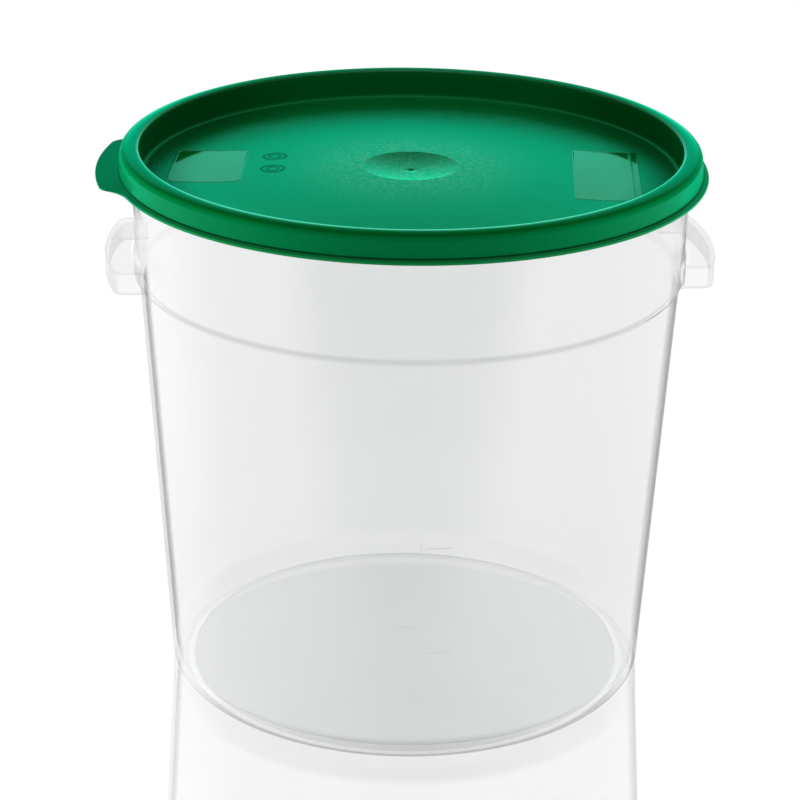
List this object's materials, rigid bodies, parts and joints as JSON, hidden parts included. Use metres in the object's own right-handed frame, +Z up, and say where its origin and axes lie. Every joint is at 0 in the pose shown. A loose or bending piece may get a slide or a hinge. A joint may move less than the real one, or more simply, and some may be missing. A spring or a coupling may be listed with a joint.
{
  "type": "round storage container",
  "caption": "Round clear plastic food tub with a stepped band and two moulded grips, closed by a recessed press-on lid with a pull tab.",
  "frame": {"origin": "centre of the tub's base, on the surface that it stands on", "axes": "+Z up along the tub's axis, X through the two grips, the lid's pull tab near -X, the pictured side towards -Y"},
  "size_m": [0.351, 0.3352, 0.3192],
  "materials": {
    "clear_plastic": "clear moulded plastic, polished",
    "green_plastic": "moulded plastic, fine matte with polished label fields"
  },
  "bodies": {
    "tub": {"tub": "clear_plastic"},
    "lid": {"lid": "green_plastic"}
  },
  "joints": [
    {"name": "lid_lift", "type": "slide", "parent": "tub", "child": "lid", "axis": [0, 0, 1], "range_m": [0, 0.2]}
  ]
}
